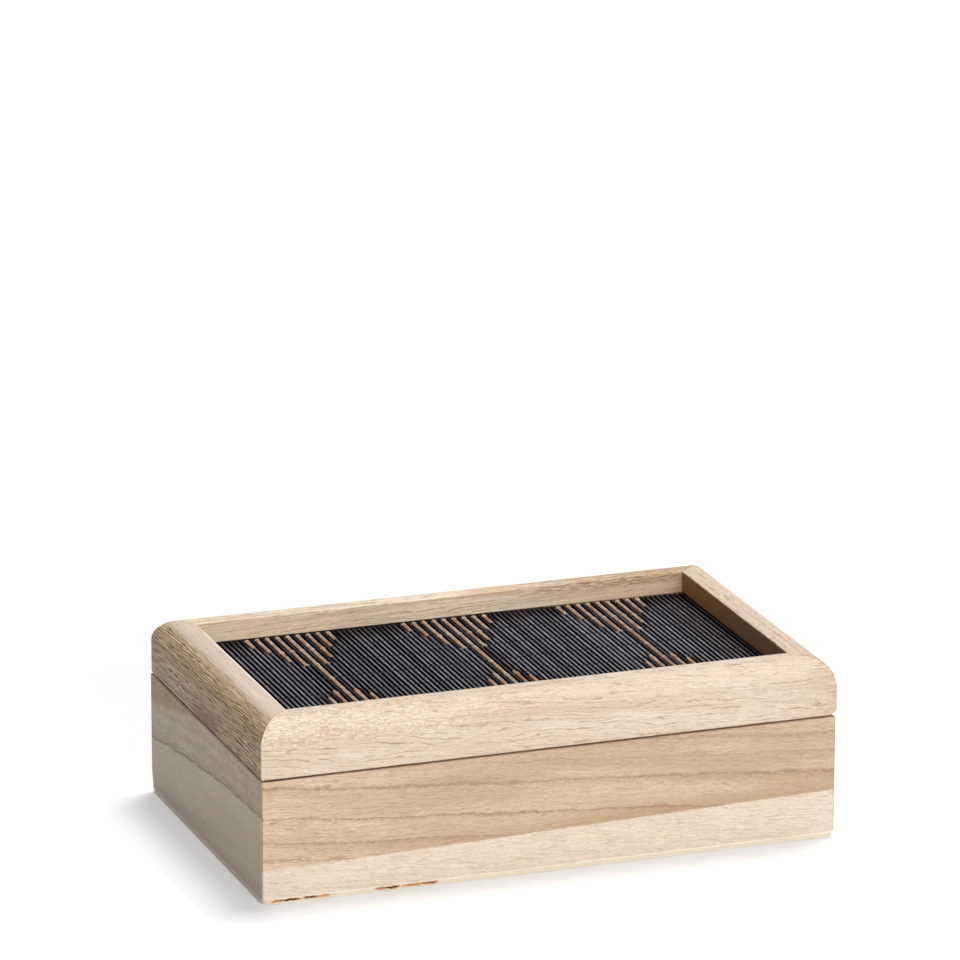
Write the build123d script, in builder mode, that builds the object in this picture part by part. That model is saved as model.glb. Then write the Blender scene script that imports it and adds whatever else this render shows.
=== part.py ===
"""Wooden storage box with a hinged lid, in millimetres.

The box stands on the XY plane with its middle on the Z axis. Its long side runs along X, the hinges are at
the back (+Y), and +Z is up. The lid is closed.
"""

import os
from math import radians, tan

from build123d import *

# Box: four mitred boards on a thin plywood base
BOX_LENGTH = 280.0
BOX_DEPTH = 168.0
WALL_HEIGHT = 56.2
WALL_THICKNESS = 11.0
WALL_EDGE_ROUND = 0.8
BASE_THICKNESS = 3.0
BASE_CORNER_ROUND = 5.0
BASE_EDGE_CHAMFER = 0.5

# Lid frame: a quarter-round moulding, mitred at the corners, a little larger than the box. Its foot is
# rounded further at the back, so that the lid can turn on its hinges without meeting the wall
SEAM_GAP = 0.4
LID_OVERHANG = 0.4
LID_HEIGHT = 27.2
RAIL_WIDTH = 17.9
RAIL_ROUND = 12.0
RAIL_LOWER_ROUND = 2.2
RAIL_BACK_ROUND = 6.7
RAIL_INNER_ROUND = 0.5
CORNER_EASE = 0.6

# Lid panel: a thin board in a groove round the inside of the frame
RECESS_DEPTH = 10.2
PANEL_THICKNESS = 3.0
GROOVE_DEPTH = 5.0
GROOVE_CLEARANCE = 0.2
PANEL_EDGE_CLEARANCE = 0.5

# Reed mat: thin reeds side by side on the panel, from front to back, whittled round with narrow flats
REED_DIAMETER = 2.45
REED_FLATS = 10
REED_LEAST_GAP = 0.07
REED_END_CLEARANCE = 0.5
REED_SIDE_CLEARANCE = 0.2
GLUE_LINE = 0.05
MOTIF_COUNT = 3
MOTIF_SPACING_REEDS = 31
MOTIF_STEPS = 4

# Butt hinges: let into the seam, with the barrel just inside the back of the lid
HINGE_LENGTH = 25.0
HINGE_FROM_END = 50.0
KNUCKLES = 3
KNUCKLE_RADIUS = 2.0
KNUCKLE_GAP = 0.2
BARREL_SETBACK = 0.2
BARREL_CLEARANCE = 0.3
PIN_RADIUS = 1.0
PIN_CLEARANCE = 0.05
LEAF_THICKNESS = 0.9
LEAF_SHOULDER = 1.5
LEAF_CLEARANCE = 0.2

# Countersunk hinge screws, two in each leaf
SCREW_SPACING = 15.0
SCREW_RADIUS = 0.9
SCREW_HEAD_RADIUS = 1.75
SCREW_HEAD_ANGLE = 90.0
SCREW_LENGTH = 9.0
SCREW_CLEARANCE = 0.05

# Levels, from the table up
wall_top = BASE_THICKNESS + WALL_HEIGHT
lid_bottom = wall_top + SEAM_GAP
lid_top = lid_bottom + LID_HEIGHT
reed_middle = lid_top - RECESS_DEPTH - REED_DIAMETER / 2
panel_top = reed_middle - REED_DIAMETER / 2 - GLUE_LINE
panel_bottom = panel_top - PANEL_THICKNESS

# Plan sizes
lid_length = BOX_LENGTH + 2 * LID_OVERHANG
lid_depth = BOX_DEPTH + 2 * LID_OVERHANG
opening_length = lid_length - 2 * RAIL_WIDTH
opening_depth = lid_depth - 2 * RAIL_WIDTH

# Hinge pin, and the leaf between its knuckles and the shoulder left on the inside of the wall
pin_y = lid_depth / 2 - KNUCKLE_RADIUS - BARREL_SETBACK
pin_z = wall_top + SEAM_GAP / 2
leaf_face = SEAM_GAP / 2
leaf_inner = pin_y - (BOX_DEPTH / 2 - WALL_THICKNESS + LEAF_SHOULDER)
leaf_outer = KNUCKLE_RADIUS + BARREL_CLEARANCE
screw_from_pin = (leaf_inner + leaf_outer) / 2
hinge_x = BOX_LENGTH / 2 - HINGE_FROM_END
hinge_middles = {"left": -hinge_x, "right": hinge_x}
screw_xs = [middle + end * SCREW_SPACING / 2 for middle in hinge_middles.values() for end in (-1, 1)]

# Outward direction of each side of the box
SIDES = {"front": (0, -1), "back": (0, 1), "left": (-1, 0), "right": (1, 0)}
BELOW = -1
ABOVE = 1


def mitred_side(section, outward, length, depth, foot):
    """One side of a frame: its section run along that side, with mitred ends and an eased corner at each."""
    along = (outward[1], -outward[0])
    middle = (outward[0] * length / 2, outward[1] * depth / 2)
    with BuildPart() as side:
        with BuildSketch(Plane(origin=(*middle, foot), x_dir=(*outward, 0), z_dir=(*along, 0))):
            add(section)
        extrude(amount=max(length, depth) / 2, both=True)
        for end in (-1, 1):
            diagonal = [outward[i] + end * along[i] for i in (0, 1)]
            mitre = [outward[i] - end * along[i] for i in (0, 1)]
            corner = (diagonal[0] * length / 2, diagonal[1] * depth / 2)
            eased = [corner[i] - CORNER_EASE * outward[i] for i in (0, 1)]
            split(bisect_by=Plane(origin=(*corner, 0), z_dir=(*mitre, 0)), keep=Keep.TOP)
            split(bisect_by=Plane(origin=(*eased, 0), z_dir=(*diagonal, 0)), keep=Keep.BOTTOM)
    return side.part


def seat_cutter(level):
    """What is cut from the wood for the hinges: below the seam for the box, above it for the lid."""
    seam_plane = Plane(origin=(0, pin_y, pin_z), x_dir=(1, 0, 0), z_dir=(0, 0, level))
    leaf_middle = -level * leaf_inner / 2
    with BuildPart() as cutter:
        for middle in hinge_middles.values():
            with BuildSketch(seam_plane):
                with Locations((middle, leaf_middle)):
                    Rectangle(HINGE_LENGTH + 2 * LEAF_CLEARANCE, leaf_inner + 2 * LEAF_CLEARANCE)
            extrude(amount=leaf_face + LEAF_THICKNESS)
            with BuildSketch(Plane.YZ.offset(middle - HINGE_LENGTH / 2 - BARREL_CLEARANCE)):
                with Locations((pin_y, pin_z)):
                    Circle(KNUCKLE_RADIUS + BARREL_CLEARANCE)
            extrude(amount=HINGE_LENGTH + 2 * BARREL_CLEARANCE)
        with BuildSketch(seam_plane):
            with Locations(*[(x, -level * screw_from_pin) for x in screw_xs]):
                Circle(SCREW_RADIUS + SCREW_CLEARANCE)
        extrude(amount=leaf_face + SCREW_LENGTH + SCREW_CLEARANCE)
    return cutter.part


def hinge_leaf(middle, level, own_knuckles):
    """One leaf: a plate against the wood that curls round the pin at its own knuckles."""
    face = Plane(origin=(middle, pin_y, pin_z + level * leaf_face), x_dir=(1, 0, 0), z_dir=(0, 0, level))
    zone = HINGE_LENGTH / KNUCKLES
    plate_depth = leaf_inner - leaf_outer
    with BuildPart() as leaf:
        with BuildSketch(face):
            with Locations((0, -level * (leaf_outer + plate_depth / 2))):
                Rectangle(HINGE_LENGTH, plate_depth)
            for knuckle in own_knuckles:
                with Locations(((knuckle + 0.5) * zone - HINGE_LENGTH / 2, -level * leaf_outer / 2)):
                    Rectangle(zone - KNUCKLE_GAP, leaf_outer)
        extrude(amount=LEAF_THICKNESS)
        for knuckle in own_knuckles:
            start = middle - HINGE_LENGTH / 2 + knuckle * zone + KNUCKLE_GAP / 2
            with BuildSketch(Plane.YZ.offset(start)):
                with Locations((pin_y, pin_z)):
                    Circle(KNUCKLE_RADIUS)
            extrude(amount=zone - KNUCKLE_GAP)
        with BuildSketch(Plane.YZ.offset(middle - HINGE_LENGTH / 2)):
            with Locations((pin_y, pin_z)):
                Circle(PIN_RADIUS + PIN_CLEARANCE)
        extrude(amount=HINGE_LENGTH, mode=Mode.SUBTRACT)
        drilled = Plane(face.origin, x_dir=(1, 0, 0), z_dir=(0, 0, -level))
        with Locations(drilled):
            with Locations(*[(end * SCREW_SPACING / 2, level * screw_from_pin) for end in (-1, 1)]):
                CounterSinkHole(
                    radius=SCREW_RADIUS + SCREW_CLEARANCE,
                    counter_sink_radius=SCREW_HEAD_RADIUS + SCREW_CLEARANCE,
                    depth=LEAF_THICKNESS,
                    counter_sink_angle=SCREW_HEAD_ANGLE,
                )
    return leaf


def leaf_screws(level):
    """The screws of both leaves on one side of the seam, heads level with the leaf's face."""
    head_height = (SCREW_HEAD_RADIUS - SCREW_RADIUS) / tan(radians(SCREW_HEAD_ANGLE / 2))
    with BuildPart() as screws:
        for x in screw_xs:
            axis_plane = Plane(
                origin=(x, pin_y - screw_from_pin, pin_z + level * leaf_face),
                x_dir=(1, 0, 0),
                z_dir=(0, -level, 0),
            )
            with BuildSketch(axis_plane):
                with BuildLine():
                    Polyline(
                        (0, 0),
                        (SCREW_HEAD_RADIUS, 0),
                        (SCREW_RADIUS, head_height),
                        (SCREW_RADIUS, SCREW_LENGTH),
                        (0, SCREW_LENGTH),
                        close=True,
                    )
                make_face()
            revolve(axis=Axis(axis_plane.origin, (0, 0, 1)))
    return screws


def write(piece, name):
    """Name a finished piece and write its file."""
    piece.part.label = name
    export_step(piece.part, f"parts/{name}.step")


os.makedirs("parts", exist_ok=True)

# The walls are boards with the upper outside edge rounded, and the hinges are let into the back one
with BuildSketch() as wall_section:
    Rectangle(WALL_THICKNESS, WALL_HEIGHT, align=(Align.MAX, Align.MIN))
    fillet(wall_section.vertices().group_by(Axis.Y)[-1].sort_by(Axis.X)[-1], WALL_EDGE_ROUND)

for side, outward in SIDES.items():
    with BuildPart() as wall:
        add(mitred_side(wall_section.sketch, outward, BOX_LENGTH, BOX_DEPTH, BASE_THICKNESS))
        if side == "back":
            add(seat_cutter(BELOW), mode=Mode.SUBTRACT)
    write(wall, f"{side}_wall")

# The base is glued under the walls and has its corners rounded off
with BuildPart() as base_panel:
    with BuildSketch():
        RectangleRounded(BOX_LENGTH, BOX_DEPTH, BASE_CORNER_ROUND)
    extrude(amount=BASE_THICKNESS)
    chamfer(base_panel.faces().sort_by(Axis.Z)[0].edges(), BASE_EDGE_CHAMFER)
write(base_panel, "base_panel")

# The lid's rails are one moulding: a large round above, a small one at the foot, and a groove for the panel
with BuildSketch() as rail_section:
    Rectangle(RAIL_WIDTH, LID_HEIGHT, align=(Align.MAX, Align.MIN))
    fillet(rail_section.vertices().group_by(Axis.X)[-1].sort_by(Axis.Y)[-1], RAIL_ROUND)
    fillet(rail_section.vertices().group_by(Axis.X)[-1].sort_by(Axis.Y)[0], RAIL_LOWER_ROUND)
    fillet(rail_section.vertices().group_by(Axis.X)[0].sort_by(Axis.Y)[-1], RAIL_INNER_ROUND)
    with Locations((-RAIL_WIDTH, panel_bottom - lid_bottom)):
        Rectangle(
            GROOVE_DEPTH,
            PANEL_THICKNESS + GROOVE_CLEARANCE,
            align=(Align.MIN, Align.MIN),
            mode=Mode.SUBTRACT,
        )

# Once the frame is glued up, its foot is rounded further along the whole back
with BuildPart() as back_relief:
    with BuildSketch(Plane.YZ.offset(-lid_length)):
        with Locations((lid_depth / 2 - RAIL_BACK_ROUND, lid_bottom + RAIL_BACK_ROUND)):
            Rectangle(2 * RAIL_BACK_ROUND, 2 * RAIL_BACK_ROUND, align=(Align.MIN, Align.MAX))
            Circle(RAIL_BACK_ROUND, mode=Mode.SUBTRACT)
    extrude(amount=2 * lid_length)

for side, outward in SIDES.items():
    with BuildPart() as rail:
        add(mitred_side(rail_section.sketch, outward, lid_length, lid_depth, lid_bottom))
        if side != "front":
            add(back_relief.part, mode=Mode.SUBTRACT)
        if side == "back":
            add(seat_cutter(ABOVE), mode=Mode.SUBTRACT)
    write(rail, f"lid_{side}_rail")

# The panel floats in the groove
panel_lap = GROOVE_DEPTH - PANEL_EDGE_CLEARANCE
with BuildPart() as lid_panel:
    with BuildSketch(Plane.XY.offset(panel_bottom)):
        Rectangle(opening_length + 2 * panel_lap, opening_depth + 2 * panel_lap)
    extrude(amount=PANEL_THICKNESS)
write(lid_panel, "lid_panel")

# The reeds are counted from the middle one, as many as fit, and share the room that is left. Each motif has a
# natural reed in its middle, and every second reed beside it has natural ends, as many as the motif has steps
side_room = opening_length / 2 - REED_DIAMETER / 2 - REED_SIDE_CLEARANCE
reeds_each_way = int(side_room / (REED_DIAMETER + REED_LEAST_GAP))
reed_pitch = side_room / reeds_each_way
reed_numbers = range(-reeds_each_way, reeds_each_way + 1)
motif_middles = [(i - (MOTIF_COUNT - 1) / 2) * MOTIF_SPACING_REEDS for i in range(MOTIF_COUNT)]
natural = [n for n in reed_numbers if n in motif_middles]
steps = [2 * step * way for step in range(1, MOTIF_STEPS + 1) for way in (-1, 1)]
stepped = [n for n in reed_numbers if any(n - middle in steps for middle in motif_middles)]
black = [n for n in reed_numbers if n not in natural and n not in stepped]

reed_length = opening_depth - 2 * REED_END_CLEARANCE
for name, numbers in (("black_reeds", black), ("stepped_reeds", stepped), ("natural_reeds", natural)):
    with BuildPart() as reeds:
        with BuildSketch(Plane.XZ.offset(-reed_length / 2)):
            with Locations(*[(n * reed_pitch, reed_middle) for n in numbers]):
                RegularPolygon(REED_DIAMETER / 2, REED_FLATS)
        extrude(amount=reed_length)
    write(reeds, name)

# Each hinge has the outer knuckles on the box leaf and the inner ones on the lid leaf
for side, middle in hinge_middles.items():
    box_leaf = hinge_leaf(middle, BELOW, range(0, KNUCKLES, 2))
    write(box_leaf, f"{side}_hinge_box_leaf")
    lid_leaf = hinge_leaf(middle, ABOVE, range(1, KNUCKLES, 2))
    write(lid_leaf, f"{side}_hinge_lid_leaf")
    with BuildPart() as pin:
        with BuildSketch(Plane.YZ.offset(middle - HINGE_LENGTH / 2)):
            with Locations((pin_y, pin_z)):
                Circle(PIN_RADIUS)
        extrude(amount=HINGE_LENGTH)
    write(pin, f"{side}_hinge_pin")

write(leaf_screws(BELOW), "box_leaf_screws")
write(leaf_screws(ABOVE), "lid_leaf_screws")
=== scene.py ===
import math
import random
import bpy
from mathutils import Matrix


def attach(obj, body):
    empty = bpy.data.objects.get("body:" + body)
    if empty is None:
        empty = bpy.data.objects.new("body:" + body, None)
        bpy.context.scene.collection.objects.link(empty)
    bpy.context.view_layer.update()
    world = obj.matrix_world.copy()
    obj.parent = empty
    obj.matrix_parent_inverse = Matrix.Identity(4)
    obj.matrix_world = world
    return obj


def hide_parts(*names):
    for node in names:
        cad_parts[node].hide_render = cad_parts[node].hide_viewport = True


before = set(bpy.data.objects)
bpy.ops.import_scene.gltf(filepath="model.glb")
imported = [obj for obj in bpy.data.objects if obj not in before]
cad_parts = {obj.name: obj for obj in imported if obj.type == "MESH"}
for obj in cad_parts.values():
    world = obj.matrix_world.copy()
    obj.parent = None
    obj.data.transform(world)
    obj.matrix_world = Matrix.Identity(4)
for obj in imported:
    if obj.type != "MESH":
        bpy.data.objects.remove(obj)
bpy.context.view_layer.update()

from types import SimpleNamespace

import bmesh
import bpy
from mathutils import Matrix, Vector


# ---------------------------------------------------------------- table, light and camera
# A white table with no edge in sight, a broad soft light above on the right, a weaker one from the front,
# and a long lens at the height of somebody standing a few steps away.

TABLE_HALF = 8.0
TABLE_GLOW = 0.325
ROOM_LIGHT = 0.25


def put(tree, kind, sockets=None, **settings):
    """Places one shader node. A socket takes a plain value or the output of another node."""
    node = tree.nodes.new("ShaderNode" + kind)
    for name, value in settings.items():
        setattr(node, name, value)
    for name, value in (sockets or {}).items():
        if isinstance(value, bpy.types.NodeSocket):
            tree.links.new(value, node.inputs[name])
        else:
            node.inputs[name].default_value = value
    return node


def reckon(tree, how, first, second=0.0, clamp=False):
    """One step of arithmetic in a material."""
    return put(tree, "Math", {0: first, 1: second}, operation=how, use_clamp=clamp).outputs[0]


def seen_straight(tree):
    """1 where the camera sees a surface straight, in a mirror or through glass, and 0 for bounced light."""
    path = put(tree, "LightPath").outputs
    straight = reckon(tree, "ADD", path["Is Camera Ray"], path["Is Glossy Ray"])
    return reckon(tree, "ADD", straight, path["Is Transmission Ray"], clamp=True)


def blank(name):
    """A new material, with its tree of nodes and its shader to fill in."""
    material = bpy.data.materials.new(name)
    material.use_nodes = True
    return material, material.node_tree, material.node_tree.nodes["Principled BSDF"]


def made(name, work, material):
    """Puts a finished mesh into the scene as a piece."""
    mesh = bpy.data.meshes.new(name)
    work.to_mesh(mesh)
    work.free()
    mesh.materials.append(material)
    piece = bpy.data.objects.new(name, mesh)
    bpy.context.collection.objects.link(piece)
    return piece


table_paint, tree, shader = blank("white_table")
shader.inputs["Base Color"].default_value = (0.737, 0.745, 0.755, 1)
shader.inputs["Roughness"].default_value = 0.9
shader.inputs["Specular IOR Level"].default_value = 0.0
shader.inputs["Emission Color"].default_value = (1, 1, 1, 1)
tree.links.new(reckon(tree, "MULTIPLY", seen_straight(tree), TABLE_GLOW), shader.inputs["Emission Strength"])

table_bm = bmesh.new()
bmesh.ops.create_grid(table_bm, x_segments=1, y_segments=1, size=TABLE_HALF)
table = made("table", table_bm, table_paint)

room = bpy.data.worlds.new("white_room")
room.use_nodes = True
tree = room.node_tree
room_walls = tree.nodes["Background"]
room_walls.inputs["Color"].default_value = (0.975, 0.985, 1.0, 1)
tree.links.new(put(tree, "Mix", {0: seen_straight(tree), 2: ROOM_LIGHT, 3: 1.0}).outputs[0],
               room_walls.inputs["Strength"])
bpy.context.scene.world = room

for name, toward, strength, spread, glow in (
        ("top_light", (0.25, 0.18, 0.95), 2.15, 22, (1.0, 0.99, 0.98)),
        ("front_light", (0.05, -0.97, 0.22), 1.77, 24, (1.0, 0.985, 0.97))):
    lamp = bpy.data.lights.new(name, "SUN")
    lamp.energy = strength
    lamp.angle = math.radians(spread)
    lamp.color = glow
    light = bpy.data.objects.new(name, lamp)
    light.rotation_euler = Vector(toward).to_track_quat("Z", "Y").to_euler()
    bpy.context.collection.objects.link(light)

lens = bpy.data.cameras.new("camera")
lens.sensor_width = 36
lens.lens = 262.874
camera = bpy.data.objects.new("camera", lens)
camera.location = (-1.064523, -2.923351, 1.098767)
camera.rotation_euler = [math.radians(turn) for turn in (73.273757, -0.110080, -19.885783)]
bpy.context.collection.objects.link(camera)
bpy.context.scene.camera = camera
bpy.context.scene.view_settings.view_transform = "Standard"


# ---------------------------------------------------------------- base
# A sheet of thin plywood glued under the four walls, cut flush with them and rounded at its corners.
# Its edge shows a pale face veneer over a greyer core, with a few brown patches on the front.

BOX_LENGTH, BOX_DEPTH = 0.280, 0.168
# height, how far the edge stands back, and corner round, from the underside up
BASE_OUTLINES = ((0.0, 0.0005, 0.0048), (0.0005, 0.0, 0.0045), (0.0026, 0.0, 0.0036), (0.003, 0.0002, 0.0034))
BASE_CORE = (0.7, 2.3)
GLUE_LINE = 0.08
CRISP_EDGE = math.radians(30)
# middle along the front, half length, and how dark, in millimetres
STAINS = ((-132.8, 4.0, 0.2), (-126.2, 7.5, 1.0), (-116.6, 4.8, 0.9), (-110.5, 4.0, 0.0),
          (-82.8, 4.2, 0.3), (-77.0, 5.0, 1.0), (-68.0, 7.0, 0.1), (-60.0, 5.0, 0.6))
STAIN_HEIGHT, STAIN_HALF_HEIGHT = 1.75, 0.8


def seen(red, green, blue):
    """A colour as it looks on a screen, 0 to 255, turned into the light that the shader mixes."""
    return tuple(((part / 255 + 0.055) / 1.055) ** 2.4 for part in (red, green, blue)) + (1.0,)


def between(tree, value, low, high, start=0.0, end=1.0):
    """Rises softly from start to end as the value goes from low to high."""
    return put(tree, "MapRange", {"Value": value, "From Min": low, "From Max": high, "To Min": start,
                                  "To Max": end}, interpolation_type="SMOOTHSTEP").outputs[0]


def times(tree, first, *others):
    """Several shares multiplied together."""
    for other in others:
        first = reckon(tree, "MULTIPLY", first, other)
    return first


def tint(tree, share, under, over):
    """Lays one colour over another."""
    return put(tree, "Mix", {0: share, 6: under, 7: over}, data_type="RGBA").outputs[2]


def cloud(tree, place, stretch, shift=0.0, detail=2.0, rough=0.5, twist=0.0):
    """Soft random patches, stretched by so many to the millimetre along each way of the board."""
    spot = put(tree, "Mapping", {"Vector": place, "Location": (shift, shift * 0.7, shift * 1.3),
                                 "Scale": stretch}).outputs[0]
    return put(tree, "TexNoise", {"Vector": spot, "Scale": 1.0, "Detail": detail, "Roughness": rough,
                                  "Distortion": twist}).outputs[0]


def millimetres(tree):
    """The place on the object in millimetres."""
    return put(tree, "Mapping", {"Vector": put(tree, "TexCoord").outputs["Object"],
                                 "Scale": (1000, 1000, 1000)}).outputs[0]


def roughen(tree, shader, height, strength, depth):
    """Lets a surface rise and fall a little, by a depth in metres."""
    bump = put(tree, "Bump", {"Strength": strength, "Distance": depth, "Height": height})
    tree.links.new(bump.outputs[0], shader.inputs["Normal"])


def fitted(work, name, node, body, material):
    """Makes a piece of a finished mesh, with curves shaded round and arrises kept crisp, in place of a solid."""
    for face in work.faces:
        face.smooth = True
    for edge in work.edges:
        edge.smooth = len(edge.link_faces) == 2 and edge.calc_face_angle() < CRISP_EDGE
    piece = made(name, work, material)
    piece.modifiers.new("round_shading", "WEIGHTED_NORMAL").keep_sharp = True
    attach(piece, body)
    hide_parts(node)


def plywood(name, core_low, core_high, stains=()):
    """Three plies: pale veneer outside, and a greyer core between two heights in millimetres."""
    material, tree, shader = blank(name)
    place = millimetres(tree)
    x, y, z = put(tree, "SeparateXYZ", {0: place}).outputs
    figure = cloud(tree, place, (0.012, 0.11, 0.05), 3.1, 4.0, 0.6)
    pores = between(tree, cloud(tree, place, (0.14, 2.4, 1.1), 8.4, 2.0), 0.56, 0.70)
    veneer = tint(tree, between(tree, figure, 0.3, 0.7), seen(244, 233, 214), seen(253, 246, 232))
    veneer = tint(tree, times(tree, pores, 0.3), veneer, seen(196, 168, 132))
    end_grain = cloud(tree, place, (0.8, 0.8, 2.2), 1.7, 3.0, 0.6)
    core = tint(tree, between(tree, end_grain, 0.3, 0.7), seen(232, 218, 192), seen(244, 233, 210))
    inside = times(tree, between(tree, z, core_low - GLUE_LINE, core_low + GLUE_LINE),
                   between(tree, z, core_high - GLUE_LINE, core_high + GLUE_LINE, 1.0, 0.0))
    colour = tint(tree, inside, veneer, core)
    if stains:
        ragged = between(tree, cloud(tree, place, (0.55, 0.1, 1.3), 5.2, 3.0, 0.65), 0.3, 0.7, -0.3, 0.3)
        front_edge = between(tree, y, -83.0, -82.0, 1.0, 0.0)
        up = reckon(tree, "DIVIDE", reckon(tree, "SUBTRACT", z, STAIN_HEIGHT), STAIN_HALF_HEIGHT)
    for middle, half, dark in stains:
        along = reckon(tree, "DIVIDE", reckon(tree, "SUBTRACT", x, middle), half)
        away = reckon(tree, "SQRT", reckon(tree, "ADD", times(tree, along, along), times(tree, up, up)))
        away = reckon(tree, "ADD", away, ragged)
        patch = times(tree, between(tree, away, 0.6, 1.15, 1.0, 0.0), front_edge)
        stain_and_shade = tint(tree, between(tree, away, 0.4, 0.95, dark, 0.0), seen(208, 158, 106), seen(84, 46, 22))
        colour = tint(tree, patch, colour, stain_and_shade)
    tree.links.new(colour, shader.inputs["Base Color"])
    tree.links.new(between(tree, figure, 0.2, 0.8, 0.58, 0.72), shader.inputs["Roughness"])
    shader.inputs["Specular IOR Level"].default_value = 0.3
    roughen(tree, shader, reckon(tree, "SUBTRACT", end_grain, pores), 0.3, 0.0001)
    return material


base_bm = bmesh.new()
outlines = []
for height, inset, corner in BASE_OUTLINES:
    size = Matrix.Diagonal((BOX_LENGTH - 2 * inset, BOX_DEPTH - 2 * inset, 1, 1))
    sheet = bmesh.ops.create_grid(base_bm, x_segments=1, y_segments=1, size=0.5,
                                  matrix=Matrix.Translation((0, 0, height)) @ size)
    bmesh.ops.bevel(base_bm, geom=sheet["verts"], offset=corner, offset_type="OFFSET", segments=7, profile=0.5,
                    affect="VERTICES", material=-1)
    face = [face for face in base_bm.faces if all(abs(vert.co.z - height) < 1e-6 for vert in face.verts)][0]
    outlines.append((face, list(face.edges)))
for (_, lower), (_, upper) in zip(outlines, outlines[1:]):
    bmesh.ops.bridge_loops(base_bm, edges=lower + upper)
bmesh.ops.delete(base_bm, geom=[face for face, _ in outlines[1:-1]], context="FACES_ONLY")
bmesh.ops.recalc_face_normals(base_bm, faces=base_bm.faces)
fitted(base_bm, "plywood_base", "base_panel", "box", plywood("base_plywood", *BASE_CORE, STAINS))


# ---------------------------------------------------------------- front wall
# A sawn and sanded board of pale, open-pored wood, mitred to the side walls and glued.
# Tan heartwood with brown growth lines above, running out on a strip of pale sapwood along the foot.

WALL_MITRE = (140.0, 84.0)
SAP_EDGE, SAP_SLOPE = 20.0, 0.025
FRONT_LINES = ((21.8, 0.45, 2.6, 0.8), (30.0, 0.5, 3.0, 0.85), (41.0, 0.5, 3.5, 0.9),
               (56.0, 1.6, 5.0, 0.75), (66.0, 0.6, 3.0, 0.35), (75.0, 0.8, 4.0, 0.45))


def planed(node, name, body, material, worn=()):
    """A clean copy of a solid from the frame. Worn places are rubbed off along planes, each through a point."""
    work = bmesh.new()
    work.from_mesh(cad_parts[node].data)
    bmesh.ops.remove_doubles(work, verts=work.verts, dist=1e-6)
    bmesh.ops.dissolve_limit(work, angle_limit=math.radians(0.5), verts=work.verts, edges=work.edges)
    for spot, way in worn:
        everything = work.verts[:] + work.edges[:] + work.faces[:]
        cut = bmesh.ops.bisect_plane(work, geom=everything, plane_co=spot, plane_no=way, clear_outer=True)
        rim = [part for part in cut["geom_cut"] if isinstance(part, bmesh.types.BMEdge)]
        bmesh.ops.edgenet_fill(work, edges=rim)
    fitted(work, name, node, body, material)


def off(tree, value, middle):
    """How far a value lies from a middle, either way."""
    return reckon(tree, "ABSOLUTE", reckon(tree, "SUBTRACT", value, middle))


def toned(tree, colour, scale):
    """A colour made darker or lighter."""
    return put(tree, "VectorMath", {0: colour, "Scale": scale}, operation="SCALE").outputs[0]


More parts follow.
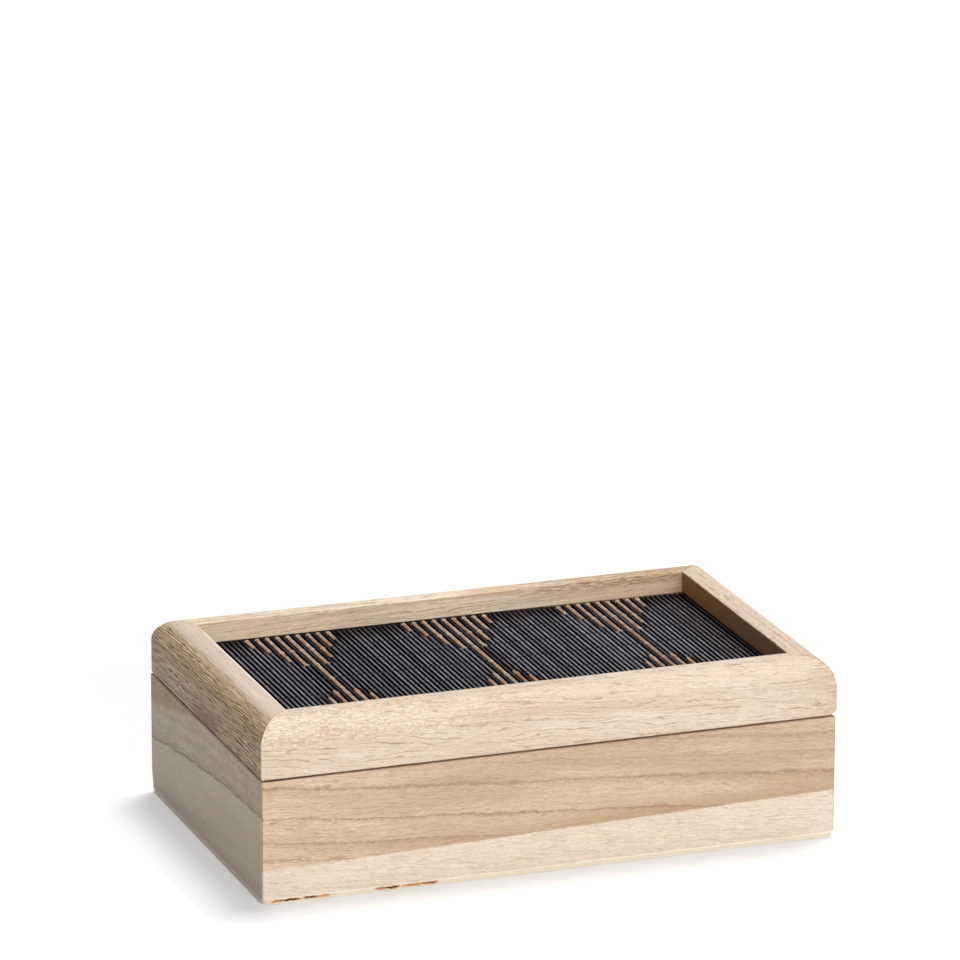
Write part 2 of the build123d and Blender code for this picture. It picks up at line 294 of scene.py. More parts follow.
def timber(name, along, mitre, pale, tan, brown, lean, seed, wander, ripple, lines=(), rise=0.0, bow=0.0,
           streaks=0.0, pores=0.5, hairs=0.5, ring=1.8, warp=1.6):
    """Sanded wood. Growth lines, each with its height, its fade above and below and its strength, sit on a
    measure in millimetres that leans, bows and wanders across the board; streaks, pores and fibres follow it.
    Returns the material with the parts to paint further on."""
    material, tree, shader = blank(name)
    x, y, z = put(tree, "SeparateXYZ", {0: millimetres(tree)}).outputs
    run, depth = (x, y) if along == "X" else (y, x)
    board = put(tree, "CombineXYZ", {0: run, 1: z, 2: depth}).outputs[0]
    growth = put(tree, "VectorMath", {0: board, 1: lean}, operation="DOT_PRODUCT").outputs["Value"]
    growth = reckon(tree, "ADD", growth, rise)
    growth = reckon(tree, "ADD", growth, times(tree, run, run, bow))
    slow = cloud(tree, board, (0.011, 0.03, 0.03), seed, 2.0)
    growth = reckon(tree, "ADD", growth, between(tree, slow, 0.2, 0.8, -wander, wander))
    quick = cloud(tree, board, (0.10, 0.14, 0.14), seed + 4.0, 3.0, 0.6)
    growth = reckon(tree, "ADD", growth, between(tree, quick, 0.2, 0.8, -ripple, ripple))
    flow = put(tree, "CombineXYZ", {0: run, 1: growth, 2: depth}).outputs[0]

    patches = cloud(tree, flow, (0.012, 0.09, 0.09), seed + 9.0, 3.0, 0.55)
    bands = cloud(tree, flow, (0.006, 0.42, 0.42), seed + 5.0, 4.0, 0.65)
    dashes = cloud(tree, flow, (0.19, 2.4, 2.4), seed + 6.0, 2.0, 0.55)
    fibres = cloud(tree, flow, (0.035, 4.2, 4.2), seed + 2.0, 2.0, 0.6)
    crimps = cloud(tree, flow, (0.55, 1.5, 1.5), seed + 8.0, 2.0, 0.6)
    drift = cloud(tree, flow, (0.016, 0.10, 0.10), seed + 3.0, 2.0)
    shake = cloud(tree, flow, (0.10, 0.5, 0.5), seed + 7.0, 2.0, 0.6)
    breaks = cloud(tree, flow, (0.035, 0.55, 0.55), seed + 11.0, 2.0)
    open_pores = between(tree, dashes, 0.55, 0.65)
    rings = reckon(tree, "DIVIDE", growth, ring)
    rings = reckon(tree, "ADD", rings, between(tree, drift, 0.2, 0.8, -warp, warp))
    rings = reckon(tree, "ADD", rings, between(tree, shake, 0.2, 0.8, -0.3, 0.3))
    off_ring = off(tree, reckon(tree, "FRACT", rings), 0.5)
    hair_lines = times(tree, between(tree, off_ring, 0.03, 0.17, 1.0, 0.0), between(tree, breaks, 0.42, 0.60))

    colour = tint(tree, between(tree, patches, 0.32, 0.68), pale, tan)
    colour = tint(tree, between(tree, bands, 0.42, 0.70, 0.0, streaks), colour, brown)
    if lines:
        ramp = put(tree, "ValToRGB", {0: times(tree, growth, 0.01)})
        bar = ramp.color_ramp.elements
        bar.remove(bar[1])
        bar[0].position, bar[0].color = 0.0, (0, 0, 0, 1)
        for height, above, below, strength in lines:
            for spot, level in ((height - below, 0.0), (height - 0.6, strength * 0.34), (height, strength),
                                (height + above, 0.0)):
                step = bar.new(spot / 100)
                step.color = (level, level, level, 1)
        line = times(tree, ramp.outputs[0], between(tree, crimps, 0.3, 0.62, 0.45, 1.0))
        colour = tint(tree, line, colour, brown)
    colour = tint(tree, times(tree, open_pores, pores), colour, tint(tree, 0.6, tan, brown))
    colour = tint(tree, times(tree, hair_lines, hairs), colour, brown)
    grain = times(tree, between(tree, fibres, 0.25, 0.75, 0.90, 1.08),
                  between(tree, crimps, 0.25, 0.75, 1.06, 0.92))
    colour = toned(tree, colour, grain)
    from_mitre = off(tree, reckon(tree, "SUBTRACT", mitre[0], reckon(tree, "ABSOLUTE", x)),
                     reckon(tree, "SUBTRACT", mitre[1], reckon(tree, "ABSOLUTE", y)))
    colour = tint(tree, between(tree, from_mitre, 0.10, 0.30, 0.75, 0.0), colour, seen(120, 84, 52))
    tree.links.new(colour, shader.inputs["Base Color"])
    tree.links.new(between(tree, fibres, 0.2, 0.8, 0.52, 0.70), shader.inputs["Roughness"])
    shader.inputs["Specular IOR Level"].default_value = 0.25
    roughen(tree, shader, reckon(tree, "SUBTRACT", times(tree, fibres, 0.6), open_pores), 0.4, 0.00014)
    return SimpleNamespace(material=material, tree=tree, shader=shader, colour=colour, grain=grain, x=x, y=y, z=z,
                           flow=flow, growth=growth, dashes=dashes, crimps=crimps, hair_lines=hair_lines)


def paint(wood, colour):
    """Gives a board the colour worked out for it so far."""
    wood.colour = colour
    wood.tree.links.new(colour, wood.shader.inputs["Base Color"])


def seam_shade(wood, edge):
    """Browns the edge of a board along the seam under the lid, less so towards the right."""
    share = times(wood.tree, edge, between(wood.tree, wood.x, -138.0, -90.0, 1.0, 0.45))
    paint(wood, tint(wood.tree, share, wood.colour, seen(92, 62, 38)))


wall = timber("front_wall_wood", "X", WALL_MITRE, seen(231, 206, 178), seen(215, 186, 156), seen(150, 110, 74),
              lean=(0.084, 1.0, 0.35), seed=2.3, wander=1.0, ripple=0.7, lines=FRONT_LINES, rise=41.16,
              streaks=0.15, hairs=0.3)
tree = wall.tree
above_sap = reckon(tree, "SUBTRACT", reckon(tree, "SUBTRACT", wall.z, SAP_EDGE), times(tree, wall.x, SAP_SLOPE))
above_sap = reckon(tree, "ADD", above_sap, between(tree, wall.crimps, 0.3, 0.7, -0.12, 0.12))
dusk = times(tree, between(tree, above_sap, 0.0, 9.0, 0.5, 0.0), between(tree, above_sap, -0.4, 0.4),
             between(tree, wall.x, -110.0, -20.0))
heart = tint(tree, between(tree, wall.x, -105.0, -30.0, 0.0, 0.16), wall.colour, seen(180, 142, 108))
heart = tint(tree, dusk, heart, seen(186, 150, 118))
sap_pores = between(tree, wall.dashes, 0.52, 0.64, 0.0, 0.45)
sap = tint(tree, sap_pores, seen(238, 222, 203), seen(212, 188, 160))
sap = tint(tree, times(tree, wall.hair_lines, 0.3), sap, seen(176, 140, 106))
paint(wall, tint(tree, between(tree, above_sap, -0.6, 0.6), toned(tree, sap, wall.grain), heart))
seam_shade(wall, between(tree, wall.z, 58.95, 59.15, 0.0, 0.8))
planed("front_wall", "front_board", "box", wall.material)


# ---------------------------------------------------------------- back wall
# The same board as the front, let in along its top edge for the two hinges. Its lower left corner has been
# rubbed off a little in use, together with the end of the left wall.

BACK_LINES = ((34.0, 0.8, 3.0, 0.45), (43.0, 0.8, 3.0, 0.6), (54.0, 0.8, 3.5, 0.7), (66.0, 1.0, 4.0, 0.65),
              (77.0, 1.2, 4.0, 0.5), (88.0, 1.0, 4.0, 0.4))
WORN_CORNER = (((-0.140, 0.084, 0.015), (-0.70, 0.70, -0.14)),)

wall = timber("back_wall_wood", "X", WALL_MITRE, seen(228, 201, 172), seen(214, 184, 153), seen(152, 110, 74),
              lean=(-0.05, 1.0, 0.35), seed=17.0, wander=2.0, ripple=0.7, lines=BACK_LINES, streaks=0.2)
planed("back_wall", "back_board", "box", wall.material, WORN_CORNER)


# ---------------------------------------------------------------- left wall
# A shorter board between the front and the back, mitred at both ends. One wavy dark growth line crosses it:
# browner, mottled wood above the line, plain smooth wood below.

LEFT_LINES = ((38.2, 0.6, 1.6, 1.0), (39.8, 0.35, 0.8, 0.5), (41.2, 0.35, 0.8, 0.35), (46.5, 0.8, 2.0, 0.25),
              (53.0, 0.8, 2.0, 0.25), (12.0, 1.5, 4.0, 0.1))
WEDGE_SLOPE = 0.197

wall = timber("left_wall_wood", "Y", WALL_MITRE, seen(213, 196, 176), seen(204, 186, 165), seen(90, 67, 44),
              lean=(0.089, 1.0, 0.0), seed=31.0, wander=0.5, ripple=0.8, lines=LEFT_LINES, bow=0.00045,
              pores=0.12, hairs=0.08)
tree = wall.tree
mottle = cloud(tree, wall.flow, (0.12, 0.34, 0.3), 12.0, 4.0, 0.65)
above_line = between(tree, wall.growth, 37.5, 39.0)
browner = times(tree, above_line, between(tree, mottle, 0.36, 0.66, 0.1, 0.5))
colour = tint(tree, browner, wall.colour, seen(172, 152, 130))
curl = cloud(tree, wall.flow, (0.15, 0.40, 0.4), 19.0, 3.0, 0.6)
scribble = times(tree, between(tree, off(tree, curl, 0.5), 0.0, 0.016, 0.45, 0.0), above_line,
                 between(tree, mottle, 0.40, 0.55))
colour = tint(tree, scribble, colour, seen(116, 94, 70))
wedge = reckon(tree, "ADD", wall.z, times(tree, wall.y, WEDGE_SLOPE))
paint(wall, tint(tree, between(tree, wedge, 59.5, 63.0, 0.0, 0.6), colour, seen(158, 128, 96)))
planed("left_wall", "left_board", "box", wall.material, WORN_CORNER)


# ---------------------------------------------------------------- right wall
# The left wall's twin at the other end, mitred and glued in the same way, from a tanner part of the plank
# with several growth lines.

RIGHT_LINES = ((36.0, 0.8, 3.0, 0.4), (47.0, 0.8, 3.0, 0.55), (58.0, 0.9, 3.6, 0.65), (70.0, 0.8, 3.0, 0.5),
               (82.0, 1.2, 4.0, 0.6))

wall = timber("right_wall_wood", "Y", WALL_MITRE, seen(226, 200, 172), seen(212, 183, 152), seen(150, 108, 72),
              lean=(-0.06, 1.0, 0.2), seed=47.0, wander=1.6, ripple=0.7, lines=RIGHT_LINES, bow=0.0003,
              streaks=0.2)
planed("right_wall", "right_board", "box", wall.material)


# ---------------------------------------------------------------- front rail
# The front one of four lengths of moulding, rounded over outside, grooved inside for the panel, mitred and
# glued into the lid's frame. It is the palest, with fine sloping dashes, and rubbed round at its right end.

RAIL_MITRE = (140.4, 84.4)
OPENING_HALF_LENGTH, OPENING_HALF_DEPTH = 122.5, 66.5
PANEL_TOP = 74.0
# Height up to which shade is painted on the rails' inner faces, just above the mat
FOOT_SHADE_TOP = 76.95
UPRIGHT_TURNS = (15, 30, 45, 60, 75)
RIDGE_BEND, RIDGE_HEIGHT = 0.012, 0.0748
FOOT_BEND, FOOT_HEIGHT = 0.0022, 0.0618
# bend, its height, how far up the bend in degrees, and how deep it is rubbed there
RUBBED_PLACES = ((FOOT_BEND, FOOT_HEIGHT, -45, 0.0013), (FOOT_BEND, FOOT_HEIGHT, -15, 0.0013),
                 (RIDGE_BEND, RIDGE_HEIGHT, 14, 0.0015), (RIDGE_BEND, RIDGE_HEIGHT, 30, 0.0011),
                 (RIDGE_BEND, RIDGE_HEIGHT, 46, 0.0008), (RIDGE_BEND, RIDGE_HEIGHT, 62, 0.0004))


def rubbed(side, end, share, upright_round=0.0):
    """The planes that round one corner of the lid: its upright edge, its foot and its upper ridge."""
    half_length, half_depth = RAIL_MITRE[0] / 1000, RAIL_MITRE[1] / 1000
    planes = []
    for turn in UPRIGHT_TURNS if upright_round else ():
        way = Vector((side * math.cos(math.radians(turn)), end * math.sin(math.radians(turn)), 0.0))
        middle = Vector((side * (half_length - upright_round), end * (half_depth - upright_round), RIDGE_HEIGHT))
        planes.append((middle + way * upright_round, way))
    for bend, height, climb, depth in RUBBED_PLACES:
        out, up = math.cos(math.radians(climb)), math.sin(math.radians(climb))
        way = Vector((side * out, end * out, 2 * up)).normalized()
        back_in = bend - bend * out
        ridge = Vector((side * (half_length - back_in), end * (half_depth - back_in), height + bend * up))
        planes.append((ridge - way * depth * share, way))
    return planes


def above_panel(wood):
    """1 above the lid's panel and 0 below it, where a rail's inner face shows when the lid is open."""
    return between(wood.tree, wood.z, PANEL_TOP - 0.4, PANEL_TOP)


def rail_foot_shade(wood, across, inner_face):
    """Paints shade as a dark line a little way up the inner face of a rail, where it meets the mat, above the
    panel.
    """
    tree = wood.tree
    inside = between(tree, reckon(tree, "ABSOLUTE", across), inner_face + 0.1, inner_face + 0.5, 1.0, 0.0)
    foot_shade = times(tree, inside, between(tree, wood.z, FOOT_SHADE_TOP - 0.35, FOOT_SHADE_TOP, 1.0, 0.0), above_panel(wood))
    paint(wood, tint(tree, foot_shade, wood.colour, seen(22, 17, 14)))


rubbed_front_right = rubbed(1, -1, 0.75)
rail = timber("front_rail_wood", "X", RAIL_MITRE, seen(237, 220, 201), seen(228, 208, 185), seen(168, 132, 92),
              lean=(0.08, 1.0, 0.3), seed=61.0, wander=1.0, ripple=0.35, streaks=0.15, pores=0.45, hairs=0.62,
              ring=2.1)
rail_foot_shade(rail, rail.y, OPENING_HALF_DEPTH)
tree = rail.tree
flame = cloud(tree, rail.flow, (0.40, 0.95, 0.95), 22.0, 3.0, 0.6, 1.2)
upper_left = times(tree, between(tree, rail.z, 71.0, 77.0), between(tree, rail.x, -100.0, 30.0, 1.0, 0.15))
tan_flecks = times(tree, between(tree, flame, 0.52, 0.58), upper_left, 0.6)
colour = tint(tree, tan_flecks, rail.colour, seen(208, 172, 136))
pale_flecks = times(tree, between(tree, flame, 0.40, 0.46, 1.0, 0.0), upper_left, 0.5)
colour = tint(tree, pale_flecks, colour, seen(250, 238, 222))
right_end = times(tree, between(tree, rail.x, 126.0, 139.0), between(tree, rail.dashes, 0.46, 0.56, 0.0, 0.4))
colour = tint(tree, right_end, colour, seen(184, 146, 110))
# Painted highlight: a pale line along the arris at the left mitre.
from_left_mitre = off(tree, reckon(tree, "ADD", rail.x, RAIL_MITRE[0]),
                      reckon(tree, "ADD", rail.y, RAIL_MITRE[1]))
paint(rail, tint(tree, between(tree, from_left_mitre, 0.2, 0.8, 0.55, 0.0), colour, seen(254, 246, 232)))
seam_shade(rail, between(tree, rail.z, 59.65, 59.85, 0.7, 0.0))
planed("lid_front_rail", "front_moulding", "lid", rail.material, rubbed_front_right)


# ---------------------------------------------------------------- back rail
# The same moulding along the back, let in underneath for the hinges, with its lower outer edge rounded so
# that the lid can turn. Pale wood, warmer to the right, and rubbed round at both ends, most at the left.

BACK_LEFT_ROUND = 0.0042

rubbed_back_left = rubbed(-1, 1, 1.0, BACK_LEFT_ROUND)
rubbed_back_right = rubbed(1, 1, 0.6)
rail = timber("back_rail_wood", "X", RAIL_MITRE, seen(251, 234, 209), seen(243, 220, 191), seen(146, 106, 72),
              lean=(-0.03, 1.0, -0.3), seed=73.0, wander=0.7, ripple=0.25, streaks=0.3, pores=0.35, hairs=0.6,
              ring=1.5, warp=0.8)
rail_foot_shade(rail, rail.y, OPENING_HALF_DEPTH)
tree = rail.tree
colour = tint(tree, between(tree, rail.x, 20.0, 110.0, 0.0, 0.6), rail.colour, seen(214, 176, 138))
brown_streak = times(tree, between(tree, rail.x, 25.0, 70.0), between(tree, rail.z, 81.5, 84.0),
                     between(tree, rail.dashes, 0.46, 0.56, 0.0, 0.7))
colour = tint(tree, brown_streak, colour, seen(150, 106, 62))
warm = times(tree, between(tree, off(tree, rail.x, 25.0), 4.0, 22.0, 0.45, 0.0),
             between(tree, rail.z, 83.5, 85.5))
paint(rail, tint(tree, warm, colour, seen(206, 158, 106)))
planed("lid_back_rail", "back_moulding", "lid", rail.material, rubbed_back_left + rubbed_back_right)


# ---------------------------------------------------------------- left rail
# The same moulding at the left end, mitred and glued to the front and the back ones. Its outer face is brown,
# with fine dark and pale lines along the grain; its top is pale, and its inner edge has a painted highlight.

rail = timber("left_rail_wood", "Y", RAIL_MITRE, seen(229, 211, 194), seen(219, 199, 180), seen(104, 74, 44),
              lean=(0.02, 1.0, 0.25), seed=83.0, wander=0.5, ripple=0.12, streaks=0.1, pores=0.12, hairs=0.1,
              ring=1.1, warp=0.8)
rail_foot_shade(rail, rail.x, OPENING_HALF_LENGTH)
tree = rail.tree
outer = between(tree, rail.x, -138.5, -131.0, 1.0, 0.0)
fine_streaks = cloud(tree, rail.flow, (0.02, 0.9, 0.9), 41.0, 4.0, 0.7)
browned = times(tree, outer, between(tree, fine_streaks, 0.36, 0.64, 0.45, 0.85),
                between(tree, rail.y, -80.0, 80.0, 1.0, 0.78))
colour = tint(tree, browned, rail.colour, seen(164, 124, 76))
lined = between(tree, rail.x, -135.5, -130.2, 1.0, 0.0)
olive = times(tree, between(tree, rail.z, 73.0, 80.0), lined, 0.35)
colour = tint(tree, olive, colour, seen(196, 168, 120))
round_over = reckon(tree, "ADD", rail.growth, times(tree, rail.x, 0.75))
for apart, seed, dark, pale in ((1.7, 43.0, 0.95, 0.6), (1.15, 47.0, 0.8, 0.9)):
    sway = between(tree, cloud(tree, rail.flow, (0.03, 0.22, 0.22), seed, 3.0, 0.6), 0.2, 0.8, -0.9, 0.9)
    turns = reckon(tree, "ADD", reckon(tree, "DIVIDE", round_over, apart), sway)
    off_line = off(tree, reckon(tree, "FRACT", turns), 0.5)
    breaks = cloud(tree, rail.flow, (0.045, 0.7, 0.7), seed + 1.0, 2.0)
    kept = times(tree, lined, between(tree, breaks, 0.40, 0.58, 0.1, 1.0))
    dark_line = times(tree, kept, between(tree, off_line, 0.10, 0.24, dark, 0.0))
    colour = tint(tree, dark_line, colour, seen(74, 48, 24))
    pale_line = times(tree, kept, between(tree, off_line, 0.30, 0.42, 0.0, pale))
    colour = tint(tree, pale_line, colour, seen(230, 206, 168))
ruddy = times(tree, between(tree, off(tree, rail.y, -4.0), 6.0, 34.0, 0.55, 0.0),
              between(tree, rail.z, 65.0, 72.0, 1.0, 0.0), outer)
colour = tint(tree, ruddy, colour, seen(128, 84, 60))
colour = tint(tree, times(tree, outer, rail.hair_lines, 0.55), colour, seen(88, 60, 34))
# Painted highlight: a pale line along the rail's inner top edge, fading towards both ends.
painted_arris_highlight = times(tree, between(tree, rail.x, -123.8, -123.2), between(tree, rail.z, 86.0, 86.4, 0.0, 0.8),
              between(tree, rail.y, 46.0, 62.0, 1.0, 0.15), between(tree, rail.y, -62.0, -40.0, 0.25, 1.0))
paint(rail, tint(tree, painted_arris_highlight, colour, seen(252, 244, 232)))
planed("lid_left_rail", "left_moulding", "lid", rail.material, rubbed_back_left)


# ---------------------------------------------------------------- right rail
# The same moulding at the right end, mitred and glued as the others are. Its inner face, next to the mat, is
# painted a dark brown as shade.

rail = timber("right_rail_wood", "Y", RAIL_MITRE, seen(236, 218, 198), seen(224, 200, 174), seen(138, 96, 62),
              lean=(-0.02, 1.0, -0.25), seed=97.0, wander=1.2, ripple=0.35, streaks=0.3, pores=0.4, ring=2.0)
tree = rail.tree
# Painted shade: the inner face next to the mat is painted dark brown, darker towards the front.
inner = times(tree, between(tree, rail.x, OPENING_HALF_LENGTH + 0.1, OPENING_HALF_LENGTH + 0.5, 0.92, 0.0),
              between(tree, rail.z, 85.8, 86.6, 1.0, 0.0), above_panel(rail))
stain_and_shade = tint(tree, between(tree, rail.y, -45.0, 60.0), seen(136, 94, 54), seen(164, 114, 58))
paint(rail, tint(tree, inner, rail.colour, stain_and_shade))
rail_foot_shade(rail, rail.x, OPENING_HALF_LENGTH)
planed("lid_right_rail", "right_moulding", "lid", rail.material,
       rubbed_back_right + rubbed_front_right)


# ---------------------------------------------------------------- lid panel
# A sheet of thin plywood held in a groove of the four rails. The reed mat is glued on its upper face,
# which is painted black as shade so that nothing pale shows between the reeds.

PANEL_CORE = (71.8, 73.4)

panel_plywood = plywood("panel_plywood", *PANEL_CORE)
tree = panel_plywood.node_tree
shader = tree.nodes["Principled BSDF"]
bare = shader.inputs["Base Color"].links[0].from_socket
place = millimetres(tree)
# Painted shade: the upper face under the reeds is painted near black, so the gaps between the reeds look shaded.
shade_mottle = cloud(tree, place, (0.05, 0.4, 0.4), 14.0, 3.0, 0.6)
stain_and_shade = tint(tree, between(tree, shade_mottle, 0.3, 0.7), seen(14, 13, 13), seen(30, 28, 27))
upper_face = between(tree, put(tree, "SeparateXYZ", {0: place}).outputs[2], PANEL_TOP - 0.05, PANEL_TOP + 0.05)
tree.links.new(tint(tree, upper_face, bare, stain_and_shade), shader.inputs["Base Color"])
planed("lid_panel", "plywood_panel", "lid", panel_plywood)


# ---------------------------------------------------------------- reed mat
# Ninety-seven round reeds laid side by side from front to back. The tied mat is dyed black through a stencil,
# which leaves three stepped hourglasses in the natural brown. No two reeds are quite equally thick or straight.

REED_NUMBERS = range(-48, 49)
REED_PITCH = 0.121075 / 48
REED_RADIUS = 0.001225
REED_RADII = (0.00116, 0.00122)
REED_MIDDLE_Z = 0.075375
REED_HALF_LENGTH = 0.066
REED_SPREAD = 122.3
REED_BAYS = 6
DYE_MIDDLE = 0.5
HOURGLASSES = (-31, 0, 31)
# reeds away from the middle of an hourglass, and how far the black reaches on that reed, in millimetres
DYED_STEPS = {0: 0.0, 2: 19.9, 4: 28.2, 6: 43.2, 8: 52.2}
WHOLLY_DYED = 200.0
REED_SLOTS = {"black_reeds": "black_reed", "stepped_reeds": "stepped_reed", "natural_reeds": "natural_reed"}


def dyed_half(number):
    """How far the black reaches from the middle of a reed, in millimetres; 0 on the natural ones."""
    return DYED_STEPS.get(min(abs(number - middle) for middle in HOURGLASSES), WHOLLY_DYED)


def bars_from(number):
    """How far from the middle a black reed gets natural neighbours, between which it is made darker."""
    if dyed_half(number) < WHOLLY_DYED:
        return WHOLLY_DYED
    return min(dyed_half(number - 1), dyed_half(number + 1))


def gather(whole, part):
    """Adds a finished piece to the ones made before it."""
    scrap = bpy.data.meshes.new("scrap")
    part.to_mesh(scrap)
    part.free()
    whole.from_mesh(scrap)
    bpy.data.meshes.remove(scrap)


def mark(mesh, name, value_of):
    """Gives each point of a mesh a number that its material reads."""
    notes = mesh.attributes.new(name, "FLOAT", "POINT")
    notes.data.foreach_set("value", [value_of(vert.co) for vert in mesh.vertices])


def noted(tree, name):
    """The number that a mesh's points were given under a name."""
    return put(tree, "Attribute", attribute_name=name).outputs["Fac"]


reed_skin, tree, shader = blank("dyed_reed")
place = millimetres(tree)
x, y, z = put(tree, "SeparateXYZ", {0: place}).outputs
tone = noted(tree, "tone")
streaks = cloud(tree, place, (2.6, 0.10, 2.6), 3.0, 3.0, 0.6)
blots = cloud(tree, place, (0.4, 0.16, 0.4), 7.0, 3.0, 0.6)
specks = cloud(tree, place, (0.9, 0.2, 0.9), 31.0, 2.0)
from_middle = off(tree, y, DYE_MIDDLE)
bleed = between(tree, blots, 0.25, 0.75, -0.7, 0.7)
past_dye = reckon(tree, "SUBTRACT", reckon(tree, "ADD", from_middle, bleed), noted(tree, "dyed_half"))
natural_part = between(tree, past_dye, -0.35, 0.35)

# Painted sheen: the black reeds are a grey lighter than their dye, partly their own colour and partly standing in
# for the sheen on their crowns, as the shader has no specular.
black = tint(tree, between(tree, streaks, 0.3, 0.72), seen(102, 100, 106), seen(148, 145, 153))
black = tint(tree, between(tree, blots, 0.55, 0.75, 0.0, 0.25), black, seen(120, 108, 100))
# Painted shade: the reeds turn dark brown near the rails, which shade them, and more so towards the right rail.
side_gap = reckon(tree, "SUBTRACT", REED_SPREAD, reckon(tree, "ABSOLUTE", x))
end_gap = reckon(tree, "SUBTRACT", REED_HALF_LENGTH * 1000, reckon(tree, "ABSOLUTE", y))
out_of_rail_shade = times(tree, between(tree, side_gap, -2.0, 9.0, 0.3, 1.0), between(tree, end_gap, 0.0, 24.0, 0.15, 1.0),
                between(tree, x, 88.0, 120.0, 1.0, 0.5))
black = tint(tree, out_of_rail_shade, seen(52, 42, 37), black)
past_bars = reckon(tree, "SUBTRACT", from_middle, noted(tree, "bars_from"))
black = tint(tree, between(tree, past_bars, -3.0, 3.0, 0.0, 0.75), black, seen(34, 30, 30))
black = toned(tree, black, between(tree, tone, 0.0, 1.0, 0.72, 1.12))
# Painted light: the black reeds are made lighter towards the right, where the light comes from.
black = toned(tree, black, between(tree, x, -10.0, 60.0, 0.95, 1.25))

brown = tint(tree, tone, seen(174, 138, 120), seen(196, 172, 154))
brown = tint(tree, between(tree, streaks, 0.3, 0.7, 0.0, 0.8), brown, seen(148, 112, 90))
brown = tint(tree, between(tree, blots, 0.5, 0.72, 0.0, 0.5), brown, seen(230, 212, 194))
brown = tint(tree, between(tree, specks, 0.54, 0.64, 0.0, 0.6), brown, seen(176, 118, 74))
brown = tint(tree, between(tree, specks, 0.36, 0.44, 0.5, 0.0), brown, seen(214, 204, 168))

# Painted shade: each reed is darkened to near black down its sides, in the furrows between the reeds; the natural
# parts less so.
furrow = reckon(tree, "ADD", times(tree, natural_part, -0.52), REED_MIDDLE_Z * 1000 + 0.93)
flank = reckon(tree, "ADD", times(tree, natural_part, 0.31), 0.14)
painted_furrow_shade = between(tree, z, furrow, reckon(tree, "ADD", furrow, flank), 0.004, 1.0)
colour = toned(tree, tint(tree, natural_part, black, brown), painted_furrow_shade)
tree.links.new(colour, shader.inputs["Base Color"])
tree.links.new(between(tree, streaks, 0.2, 0.8, 0.5, 0.7), shader.inputs["Roughness"])
shader.inputs["Specular IOR Level"].default_value = 0.0
roughen(tree, shader, streaks, 0.35, 0.0001)

chance = random.Random(11)
reed_tones = {number: chance.random() for number in REED_NUMBERS}
reed_groups = {node: [] for node in REED_SLOTS}
for number in REED_NUMBERS:
    half = dyed_half(number)
    kind = "natural_reeds" if half == 0 else "black_reeds" if half == WHOLLY_DYED else "stepped_reeds"
    reed_groups[kind].append(number)

for node, numbers in reed_groups.items():
    mat_bm = bmesh.new()
    for number in numbers:
        reed_bm = bmesh.new()
        radius = chance.uniform(*REED_RADII)
        foot = -REED_HALF_LENGTH + chance.uniform(0.0, 0.0004)
        head = REED_HALF_LENGTH - chance.uniform(0.0, 0.0003)
        start = Matrix.Translation((number * REED_PITCH, foot, REED_MIDDLE_Z - REED_RADIUS + radius))
        ring = bmesh.ops.create_circle(reed_bm, cap_ends=True, segments=14, radius=radius,
                                       matrix=start @ Matrix.Rotation(math.radians(90), 4, "X"))
        cap = ring["verts"][0].link_faces[0]
        for _ in range(REED_BAYS):
            grown = bmesh.ops.extrude_face_region(reed_bm, geom=[cap])["geom"]
            cap = [part for part in grown if isinstance(part, bmesh.types.BMFace)][0]
            sideways = chance.uniform(-0.00003, 0.00003)
            bmesh.ops.translate(reed_bm, vec=(sideways, (head - foot) / REED_BAYS, 0.0), verts=cap.verts)
        bmesh.ops.recalc_face_normals(reed_bm, faces=reed_bm.faces)
        for face in reed_bm.faces:
            face.smooth = len(face.verts) == 4
        for edge in reed_bm.edges:
            edge.smooth = edge.calc_face_angle(0.0) < math.radians(50)
        gather(mat_bm, reed_bm)
    reeds = made("round_" + node, mat_bm, reed_skin)
    mark(reeds.data, "tone", lambda spot: reed_tones[round(spot.x / REED_PITCH)])
    mark(reeds.data, "dyed_half", lambda spot: dyed_half(round(spot.x / REED_PITCH)))
    mark(reeds.data, "bars_from", lambda spot: bars_from(round(spot.x / REED_PITCH)))
    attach(reeds, "lid")
    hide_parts(node)


# ---------------------------------------------------------------- threads of the mat
# Seven rows of thread tie the reeds together, one turn over each. They were tied before the dyeing,
# so they are black on the black and pale on the brown.

THREAD_ROWS = (-0.0648, -0.0448, -0.0230, -0.0012, 0.0206, 0.0424, 0.0642)
THREAD_RADIUS = 0.0002
THREAD_TURN = 0.00122

thread_skin, tree, shader = blank("tying_thread")
twist = cloud(tree, millimetres(tree), (3.0, 9.0, 3.0), 5.0, 2.0)
strands = between(tree, twist, 0.3, 0.7)
colour = tint(tree, noted(tree, "undyed"), tint(tree, strands, seen(24, 23, 25), seen(46, 44, 47)),
              tint(tree, strands, seen(236, 220, 198), seen(206, 182, 154)))
tree.links.new(colour, shader.inputs["Base Color"])
tree.links.new(between(tree, twist, 0.2, 0.8, 0.7, 0.9), shader.inputs["Roughness"])
shader.inputs["Specular IOR Level"].default_value = 0.2
roughen(tree, shader, twist, 0.4, 0.00005)


def undyed(spot):
    """1 where a thread lies on the natural part of a reed, and 0 on the black."""
    return float(abs(spot.y * 1000 - DYE_MIDDLE) > dyed_half(round(spot.x / REED_PITCH)))


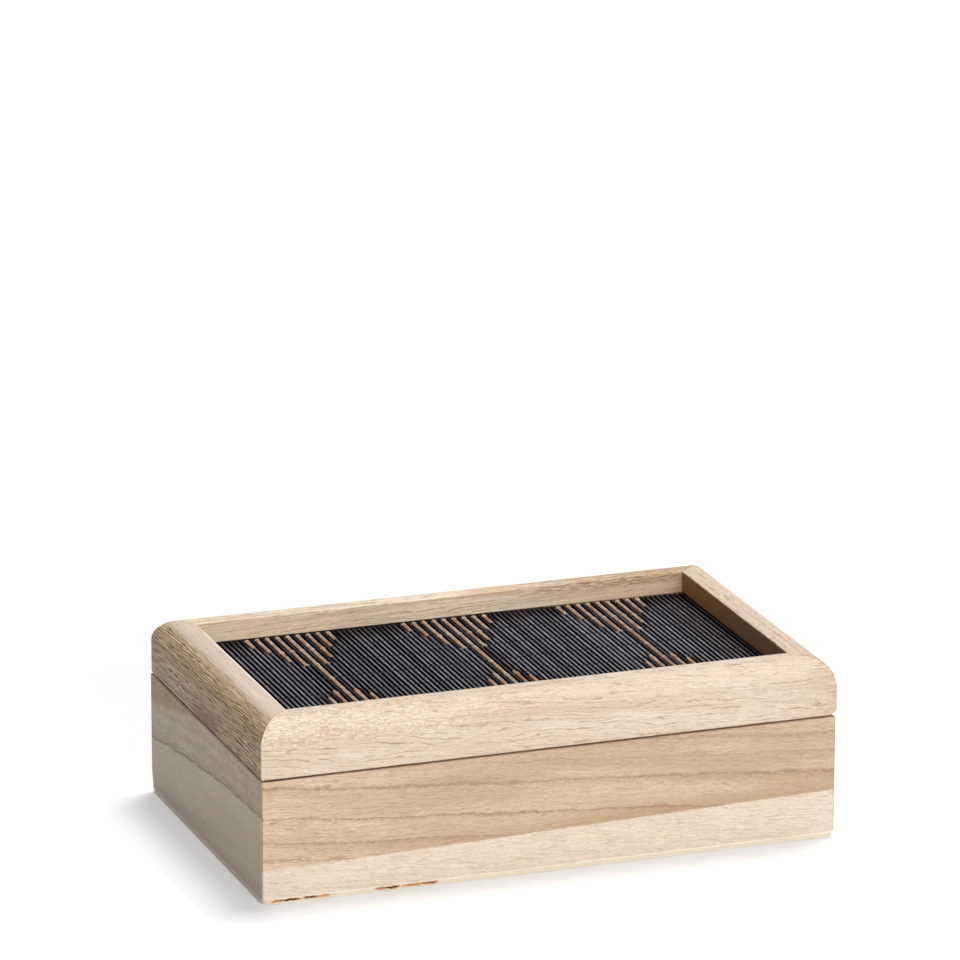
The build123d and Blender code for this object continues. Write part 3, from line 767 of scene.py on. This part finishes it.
thread_bm = bmesh.new()
for row in THREAD_ROWS:
    row_bm = bmesh.new()
    for number in REED_NUMBERS:
        turn_bm = bmesh.new()
        middle = Vector((number * REED_PITCH, row + chance.uniform(-0.0002, 0.0002), REED_MIDDLE_Z))
        bmesh.ops.create_circle(turn_bm, segments=5, radius=THREAD_RADIUS,
                                matrix=Matrix.Translation(middle + Vector((-THREAD_TURN, 0, 0))))
        bmesh.ops.spin(turn_bm, geom=turn_bm.verts[:] + turn_bm.edges[:], cent=middle, axis=(0, 1, 0),
                       angle=math.radians(180), steps=6)
        bmesh.ops.recalc_face_normals(turn_bm, faces=turn_bm.faces)
        gather(row_bm, turn_bm)
    gather(thread_bm, row_bm)
for face in thread_bm.faces:
    face.smooth = True
threads = made("mat_threads", thread_bm, thread_skin)
mark(threads.data, "undyed", undyed)
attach(threads, "lid")


# ---------------------------------------------------------------- hinge leaves
# Two small butt hinges of rolled brass sheet, let into the back wall and the back rail.
# Each has three knuckles: two on the box's leaf and one on the lid's.

brass, tree, shader = blank("satin_brass")
place = millimetres(tree)
brushed = cloud(tree, place, (0.25, 7.0, 7.0), 2.0, 3.0, 0.6)
tarnish = cloud(tree, place, (0.22, 0.22, 0.22), 6.0, 4.0, 0.6)
colour = tint(tree, between(tree, tarnish, 0.35, 0.7), seen(222, 190, 118), seen(186, 146, 84))
tree.links.new(colour, shader.inputs["Base Color"])
shader.inputs["Metallic"].default_value = 1.0
tree.links.new(between(tree, brushed, 0.2, 0.8, 0.26, 0.46), shader.inputs["Roughness"])
roughen(tree, shader, brushed, 0.2, 0.00004)
for side in ("left", "right"):
    planed(side + "_hinge_box_leaf", side + "_lower_leaf", "box", brass)
    planed(side + "_hinge_lid_leaf", side + "_upper_leaf", "lid", brass)


# ---------------------------------------------------------------- hinge pins
# A length of bright drawn steel wire through the knuckles of each hinge, cut flush at both ends.
# The tight outer knuckles hold it, and the lid's knuckle turns round it.

steel, tree, shader = blank("drawn_steel")
drawn = cloud(tree, millimetres(tree), (0.3, 9.0, 9.0), 9.0, 3.0, 0.6)
tree.links.new(tint(tree, drawn, seen(172, 172, 174), seen(206, 206, 208)), shader.inputs["Base Color"])
shader.inputs["Metallic"].default_value = 1.0
tree.links.new(between(tree, drawn, 0.2, 0.8, 0.22, 0.4), shader.inputs["Roughness"])
for side in ("left", "right"):
    planed(side + "_hinge_pin", side + "_wire_pin", "box", steel)


# ---------------------------------------------------------------- hinge screws
# Eight small countersunk brass screws with slotted heads, flush in the leaves: four down into the wall,
# four up into the lid's back rail.

SCREW_HEAD_RADIUS, SCREW_SHANK_RADIUS, SCREW_LENGTH = 0.00175, 0.0009, 0.009
SLOT_HALF, SLOT_DEPTH = 0.0002, 0.0005
SCREW_PLACES, SCREW_LINE = (-0.0975, -0.0825, 0.0825, 0.0975), 0.0772


def on_top(work):
    """The faces on a screw's flat upper side."""
    return [face for face in work.faces if all(abs(vert.co.z) < 1e-7 for vert in face.verts)]


for node, name, body, face_z, way in (("box_leaf_screws", "lower_leaf_screws", "box", 0.0592, 1),
                                      ("lid_leaf_screws", "upper_leaf_screws", "lid", 0.0596, -1)):
    screw_bm = bmesh.new()
    for spot in SCREW_PLACES:
        one = bmesh.new()
        profile = [one.verts.new(point) for point in
                   ((0, 0, 0), (SCREW_HEAD_RADIUS, 0, 0),
                    (SCREW_SHANK_RADIUS, 0, SCREW_SHANK_RADIUS - SCREW_HEAD_RADIUS),
                    (SCREW_SHANK_RADIUS, 0, -SCREW_LENGTH), (0, 0, -SCREW_LENGTH))]
        outline = [one.edges.new(pair) for pair in zip(profile, profile[1:])]
        bmesh.ops.spin(one, geom=profile + outline, cent=(0, 0, 0), axis=(0, 0, 1), angle=math.radians(360),
                       steps=24, use_merge=True)
        bmesh.ops.remove_doubles(one, verts=one.verts, dist=1e-6)
        for edge_at in (-SLOT_HALF, SLOT_HALF):
            top = on_top(one)
            rim = {edge for face in top for edge in face.edges} | {vert for face in top for vert in face.verts}
            bmesh.ops.bisect_plane(one, geom=top + list(rim), plane_co=(0, edge_at, 0), plane_no=(0, 1, 0))
        slot_faces = [face for face in on_top(one) if abs(face.calc_center_median().y) < SLOT_HALF]
        sunk = bmesh.ops.extrude_face_region(one, geom=slot_faces)["geom"]
        bmesh.ops.translate(one, vec=(0, 0, -SLOT_DEPTH),
                            verts=[part for part in sunk if isinstance(part, bmesh.types.BMVert)])
        bmesh.ops.delete(one, geom=[face for face in slot_faces if face.is_valid], context="FACES_ONLY")
        turned = Matrix.Rotation(chance.uniform(0, math.pi), 4, "Z")
        if way < 0:
            turned = Matrix.Rotation(math.pi, 4, "X") @ turned
        bmesh.ops.transform(one, matrix=Matrix.Translation((spot, SCREW_LINE, face_z)) @ turned, verts=one.verts)
        bmesh.ops.recalc_face_normals(one, faces=one.faces)
        gather(screw_bm, one)
    for face in screw_bm.faces:
        face.smooth = True
    for edge in screw_bm.edges:
        edge.smooth = edge.calc_face_angle(math.pi) < CRISP_EDGE
    screws = made(name, screw_bm, brass)
    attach(screws, body)
    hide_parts(node)
